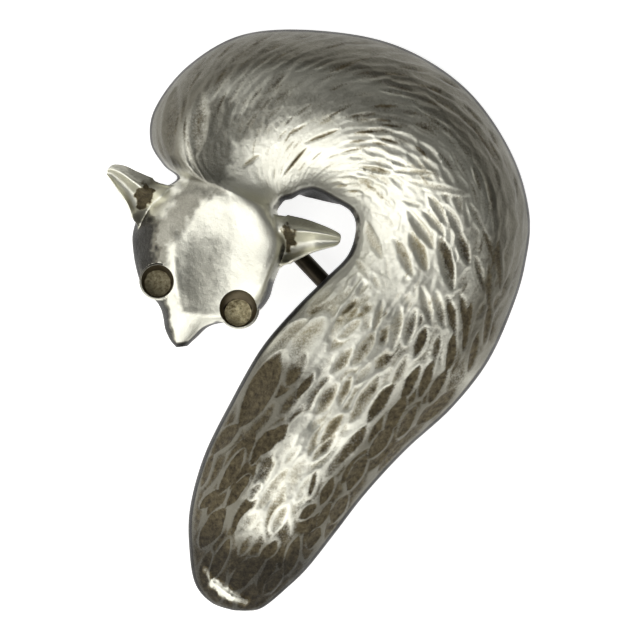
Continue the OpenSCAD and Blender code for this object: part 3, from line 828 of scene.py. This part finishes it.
hinge_at, hinge_skin = seat(HINGE_SEAT)
catch_at, catch_skin = seat(CATCH_SEAT)
pin_run = float(np.linalg.norm(catch_at - hinge_at))
pin_turn = math.atan2(catch_at[1] - hinge_at[1], catch_at[0] - hinge_at[0])
PIN_LINE = (Matrix.Translation(Vector((hinge_at[0], hinge_at[1], pin_z)) * MM)
            @ Matrix.Rotation(pin_turn, 4, "Z"))


def rounded(bm, edges, bevel):
    """Rounds edges by so many millimetres."""
    bmesh.ops.bevel(bm, geom=edges, offset=bevel * MM, segments=3, profile=0.5, affect="EDGES", material=-1)


def box_between(low, high, bevel=0.0):
    """A block between two corners in millimetres, with rounded edges."""
    bm = bmesh.new()
    bmesh.ops.create_cube(bm, size=1.0)
    low = Vector(low) * MM
    high = Vector(high) * MM
    for v in bm.verts:
        v.co = Vector(low[i] if v.co[i] < 0 else high[i] for i in range(3))
    if bevel:
        rounded(bm, bm.edges[:], bevel)
    return bm


def bar(d, low, high, axis, bevel=0.0):
    """A round bar along X or Y between two places in millimetres."""
    bm = bmesh.new()
    bmesh.ops.create_cone(bm, cap_ends=True, segments=BAR_SIDES, radius1=d / 2 * MM, radius2=d / 2 * MM,
                          depth=(high - low) * MM)
    if bevel:
        rims = [e for e in bm.edges if any(len(f.verts) > 4 for f in e.link_faces)]
        rounded(bm, rims, bevel)
    turn = Matrix.Rotation(math.pi / 2, 4, "Y") if axis == "X" else Matrix.Rotation(-math.pi / 2, 4, "X")
    shift = Vector(((low + high) / 2, 0, 0)) if axis == "X" else Vector((0, (low + high) / 2, 0))
    bmesh.ops.transform(bm, matrix=Matrix.Translation(shift * MM) @ turn, verts=bm.verts[:])
    return bm


def hinge_bracket():
    """Two cheeks with the rivet's bore through them, under a block that is soldered into the neck."""
    cheek_in = knuckle_w / 2 + side_gap
    cheek_out = cheek_in + cheek_t
    top = hinge_skin - skin_t * (1 - SOLDER_REACH) - pin_z
    r = knuckle_d / 2
    cheeks = bar(knuckle_d, -cheek_out, cheek_out, "Y", bevel=0.08)
    bracket = link("hinge_bracket", mesh_of(cheeks, "hinge_bracket"))
    block = box_between((-r, -cheek_out, 0), (r, cheek_out, top), bevel=0.08)
    joined(bracket, mesh_of(block, "block"), "UNION")
    slot = box_between((-2 * r, -cheek_in, -2 * r), (2 * r, cheek_in, r + knuckle_room), bevel=0.06)
    joined(bracket, mesh_of(slot, "slot"), "DIFFERENCE")
    bore = bar(rivet_d + 2 * rivet_gap, -2 * cheek_out, 2 * cheek_out, "Y")
    joined(bracket, mesh_of(bore, "bore"), "DIFFERENCE")
    bracket.data.transform(PIN_LINE)
    return bracket


def pin_catch():
    """An open hook on a post, round the pin's wire."""
    top = catch_skin - skin_t * (1 - SOLDER_REACH) - pin_z
    inner = wire_d + 2 * catch_gap
    mouth = wire_d + 2 * mouth_gap
    half = catch_l / 2
    ring = bar(inner + 2 * catch_t, -half, half, "X", bevel=0.1)
    hook = link("pin_catch", mesh_of(ring, "pin_catch"))
    post = box_between((-half, -post_w / 2, 0), (half, post_w / 2, top), bevel=0.08)
    joined(hook, mesh_of(post, "post"), "UNION")
    joined(hook, mesh_of(bar(inner, -2 * half, 2 * half, "X"), "bore"), "DIFFERENCE")
    gap = box_between((-2 * half, -mouth / 2, -2 * inner), (2 * half, mouth / 2, 0))
    joined(hook, mesh_of(gap, "mouth"), "DIFFERENCE")
    hook.data.transform(PIN_LINE @ Matrix.Translation(Vector((pin_run, 0, 0)) * MM))
    return hook


# Materials
def linear(code):
    """A linear colour from an sRGB hex value."""
    parts = [int(code[i:i + 2], 16) / 255 for i in (1, 3, 5)]
    return tuple(c / 12.92 if c <= 0.04045 else ((c + 0.055) / 1.055) ** 2.4 for c in parts) + (1.0,)


def add_node(tree, kind, settings=None, inputs=None):
    """Adds a node, sets its own settings, and fills or links its inputs by name or number."""
    node = tree.nodes.new(kind)
    for key, value in (settings or {}).items():
        setattr(node, key, value)
    for key, value in (inputs or {}).items():
        if isinstance(value, bpy.types.NodeSocket):
            tree.links.new(value, node.inputs[key])
        else:
            node.inputs[key].default_value = value
    return node


def noise(tree, per_mm, detail, roughness=0.5):
    """Values of a noise with so many cells to a millimetre."""
    spot = add_node(tree, "ShaderNodeTexCoord").outputs["Object"]
    return add_node(tree, "ShaderNodeTexNoise", None, {
        "Vector": spot, "Scale": per_mm / MM, "Detail": detail, "Roughness": roughness}).outputs["Fac"]


def mesh_value(tree, name):
    """A value that the mesh's points carry."""
    return add_node(tree, "ShaderNodeAttribute", {"attribute_name": name}).outputs["Fac"]


def result(tree, operation, *values):
    """The result of an operation on numbers and other results."""
    return add_node(tree, "ShaderNodeMath", {"operation": operation}, dict(enumerate(values))).outputs[0]


def spread(tree, value, low, high, to_low=0.0, to_high=1.0, kind="LINEAR"):
    """The value with its span from low to high spread over another one."""
    return add_node(tree, "ShaderNodeMapRange", {"interpolation_type": kind}, {
        "Value": value, "From Min": low, "From Max": high, "To Min": to_low, "To Max": to_high}).outputs[0]


def mask(tree, value, low, high):
    """A soft step from 0 to 1."""
    return spread(tree, value, low, high, kind="SMOOTHSTEP")


def mixed(tree, share, first, second):
    """A colour between two others."""
    return add_node(tree, "ShaderNodeMix", {"data_type": "RGBA"}, {0: share, 6: first, 7: second}).outputs[2]


def new_material(name):
    """A material with its node tree and its shader."""
    material = bpy.data.materials.new(name)
    material.use_nodes = True
    tree = material.node_tree
    tree.nodes.clear()
    out = tree.nodes.new("ShaderNodeOutputMaterial")
    shader = tree.nodes.new("ShaderNodeBsdfPrincipled")
    tree.links.new(shader.outputs["BSDF"], out.inputs["Surface"])
    return material, tree, shader


def sterling_tarnish_and_shade():
    """Cast sterling silver worn by hand: bright where it is rubbed and where highlight is painted, grey on
    the flanks partly as painted shade, brown in the cuts, and black where shade is painted.
    """
    material, tree, shader = new_material("cast_sterling_tarnish_and_painted_shade")
    tarnish = mesh_value(tree, "tarnish")
    patina_and_shade = mesh_value(tree, "patina_and_shade")
    # Pits of 0.17 mm that the tarnish sits in
    grain = noise(tree, 6.0, 4.0, 0.7)
    # Clouds of 2.2 mm, where hands have rubbed more or less
    cloud = noise(tree, 0.45, 5.0, 0.6)
    # Crusts of 0.4 mm in the tarnish
    crust = noise(tree, 2.4, 6.0, 0.7)
    speckle = result(tree, "MULTIPLY_ADD", grain, 0.7, -0.35)
    loose = result(tree, "MULTIPLY_ADD", cloud, 0.5, speckle)
    brown_at = mask(tree, result(tree, "ADD", tarnish, loose), 0.45, 1.0)
    grey_and_shade_at = result(tree, "MULTIPLY_ADD", loose, 0.5, patina_and_shade)
    # Painted black shade where the grey runs high
    painted_black_shade_at = mask(tree, grey_and_shade_at, 1.2, 2.0)

    # Clean silver, then grey that is partly painted shade, then brown, and at last painted black shade
    clean = mixed(tree, cloud, linear("#F4F3E6"), linear("#DCDACB"))
    greyed_and_shaded = mixed(tree, mask(tree, grey_and_shade_at, 0.1, 1.2), clean, linear("#726F64"))
    brown = mixed(tree, spread(tree, crust, 0.36, 0.76), linear("#3A3327"), linear("#746A51"))
    # A thin tarnish on bright metal is still golden
    heavy = mask(tree, result(tree, "MULTIPLY_ADD", patina_and_shade, 0.9, tarnish), 0.3, 0.85)
    toned = mixed(tree, heavy, linear("#AEA27F"), brown)
    worn = mixed(tree, brown_at, greyed_and_shaded, toned)
    tree.links.new(mixed(tree, painted_black_shade_at, worn, linear("#15120E")), shader.inputs["Base Color"])

    # Tarnish is a crust over the metal, and the painted black shade is not metal either
    bare = result(tree, "MULTIPLY_ADD", brown_at, -0.4, 1.0)
    free = result(tree, "MULTIPLY_ADD", painted_black_shade_at, -1.0, 1.0)
    tree.links.new(result(tree, "MULTIPLY", bare, free), shader.inputs["Metallic"])
    shader.inputs["Specular IOR Level"].default_value = 0.15
    # Fine wear scatters the shine, and tarnish dulls it
    wear = spread(tree, cloud, 0.3, 0.7, 0.34, 0.46)
    tree.links.new(result(tree, "MULTIPLY_ADD", brown_at, 0.15, wear), shader.inputs["Roughness"])
    # The cast skin is never quite even, and pitted where it is brown
    skin = add_node(tree, "ShaderNodeBump", None, {"Strength": 0.9, "Distance": 0.06 * MM, "Height": crust})
    pitted = result(tree, "MULTIPLY_ADD", brown_at, 0.6, 0.2)
    bump = add_node(tree, "ShaderNodeBump", None, {
        "Strength": pitted, "Distance": 0.04 * MM, "Height": grain, "Normal": skin.outputs[0]})
    tree.links.new(bump.outputs[0], shader.inputs["Normal"])
    return material


def plain_metal(name, light, dark, roughness):
    """Bare metal of a small part, with clouds of 1.1 mm that came with age."""
    material, tree, shader = new_material(name)
    colour = mixed(tree, noise(tree, 0.9, 4.0), linear(light), linear(dark))
    tree.links.new(colour, shader.inputs["Base Color"])
    shader.inputs["Metallic"].default_value = 1.0
    shader.inputs["Roughness"].default_value = roughness
    return material


def old_cement(name, dark, light):
    """Jeweller's cement left in the pockets: matt and brown, with crumbs of 0.3 mm."""
    material, tree, shader = new_material(name)
    grit = noise(tree, 3.2, 5.0, 0.75)
    colour = mixed(tree, spread(tree, grit, 0.35, 0.65), linear(dark), linear(light))
    tree.links.new(colour, shader.inputs["Base Color"])
    shader.inputs["Roughness"].default_value = 0.6
    bump = add_node(tree, "ShaderNodeBump", None, {"Strength": 0.8, "Distance": 0.1 * MM, "Height": grit})
    tree.links.new(bump.outputs[0], shader.inputs["Normal"])
    return material


def light_table():
    """Pale card lit from below, so no shadow falls on it."""
    material, _, shader = new_material("lit_pale_card")
    shader.inputs["Base Color"].default_value = linear("#E6E6E2")
    shader.inputs["Roughness"].default_value = 0.9
    shader.inputs["Emission Color"].default_value = linear("#FFFFFF")
    shader.inputs["Emission Strength"].default_value = 0.85
    return material


silver = sterling_tarnish_and_shade()
cement = old_cement("old_stone_cement", "#94855E", "#F4E8BC")
# A darker copy of the cement for the left eye's floor, as painted shade
shaded_cement = old_cement("stone_cement_painted_shade", "#706547", "#B9B08F")
dark_wall = plain_metal("tarnished_socket_wall", "#3E372B", "#7F755F", 0.5)
wire_metal = plain_metal("aged_nickel_silver", "#443E33", "#231F19", 0.4)

# Casting
points, marks = casting_points()
casting = link("fox_body", mesh_from_grid("fox_body", points, marks))
for material in (silver, cement, dark_wall, shaded_cement):
    casting.data.materials.append(material)
# How dark each ear's pocket is, where, and how far its lower side sinks
for table, pocket_at, dark, sunk in ((RIGHT_EAR, 1.9, 1.0, 1.5), (LEFT_EAR, 2.05, 1.3, 2.4)):
    ear = mesh_from_grid("ear", *ear_points(table, pocket_at, dark, sunk))
    ear.materials.append(silver)
    joined(casting, ear, "UNION")
# The ears' roots, the left one's on all sides
blend(casting, (-0.358, 0.228), (-0.418, 0.148), -1)
blend(casting, (-0.100, 0.181), (-0.100, 0.088), 0.25)
for eye, d in ((RIGHT_EYE, right_eye_d), (LEFT_EYE, left_eye_d)):
    cup = eye_cup(eye, d)
    cup.materials.append(silver)
    joined(casting, cup, "UNION")
# Each pocket's floor: how wide, how far off the middle, how high filled, and with what
for eye, d, floor_d, shift, fill, filling, seed in (
        (RIGHT_EYE, right_eye_d, 2.0, (-0.06, -0.30), 0.45, cement, 5),
        (LEFT_EYE, left_eye_d, 1.95, (-0.06, -0.12), 0.1, shaded_cement, 9)):
    pocket = eye_pocket(eye, d, floor_d, shift, fill, seed)
    pocket.materials.append(dark_wall)
    pocket.materials.append(filling)
    cement_filled(pocket, eye, floor_d, shift)
    joined(casting, pocket, "DIFFERENCE")
casting.data.shade_smooth()
casting.data.set_sharp_from_angle(angle=math.radians(50))
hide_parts("fox_casting")
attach(casting, "brooch")

for piece in (hinge_bracket(), pin_catch()):
    piece.data.shade_smooth()
    piece.data.set_sharp_from_angle(angle=math.radians(35))
    piece.data.materials.clear()
    piece.data.materials.append(silver)
    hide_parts("fox_casting")
    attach(piece, "brooch")

for name, metal in (("hinge_rivet", silver), ("pin_stem", wire_metal)):
    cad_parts[name].data.materials.clear()
    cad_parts[name].data.materials.append(metal)

# Floor, camera and light
bm = bmesh.new()
bmesh.ops.create_grid(bm, x_segments=1, y_segments=1, size=0.6)
floor = link("floor", mesh_of(bm, "floor"))
floor.data.materials.append(light_table())

# The width that the photograph shows, and the camera's height
VIEW_SPAN = 48.46
VIEW_FROM = 200.0
camera = bpy.data.cameras.new("camera")
camera.sensor_width = 36.0
camera.lens = camera.sensor_width * (VIEW_FROM - rim_h) / VIEW_SPAN
camera.clip_start = 0.01
camera_object = link("camera", camera)
camera_object.location = (0, 0, VIEW_FROM * MM)
bpy.context.scene.camera = camera_object

# A panel's width and its distance, in metres
PANEL_ACROSS = 0.74
PANEL_AWAY = 0.62


def panel(name, azimuth, elevation, radiance):
    """A round, even softbox that looks at the brooch: azimuth from +X, and watts per square metre and
    steradian."""
    light = bpy.data.lights.new(name, "AREA")
    light.shape = "ELLIPSE"
    light.size = PANEL_ACROSS
    light.size_y = PANEL_ACROSS
    light.energy = radiance * math.pi * PANEL_ACROSS * PANEL_ACROSS / 4 * math.pi
    a = math.radians(azimuth)
    e = math.radians(elevation)
    away = Vector((math.cos(a) * math.cos(e), math.sin(a) * math.cos(e), math.sin(e)))
    holder = link(name, light)
    holder.location = away * PANEL_AWAY
    holder.rotation_euler = away.to_track_quat("Z", "Y").to_euler()


# Big panels from the lower left, as the photograph's reflections show them, in a dim room
panel("upper_left_panel", 145, 30, 0.5)
panel("left_panel", 190, 30, 1.35)
panel("front_left_panel", 245, 30, 1.25)
panel("front_panel", 292, 30, 1.1)

world = bpy.data.worlds.new("room")
world.use_nodes = True
sky = world.node_tree.nodes["Background"]
sky.inputs["Color"].default_value = linear("#F4F4F0")
sky.inputs["Strength"].default_value = 0.18
bpy.context.scene.world = world
bpy.context.scene.view_settings.view_transform = "Standard"
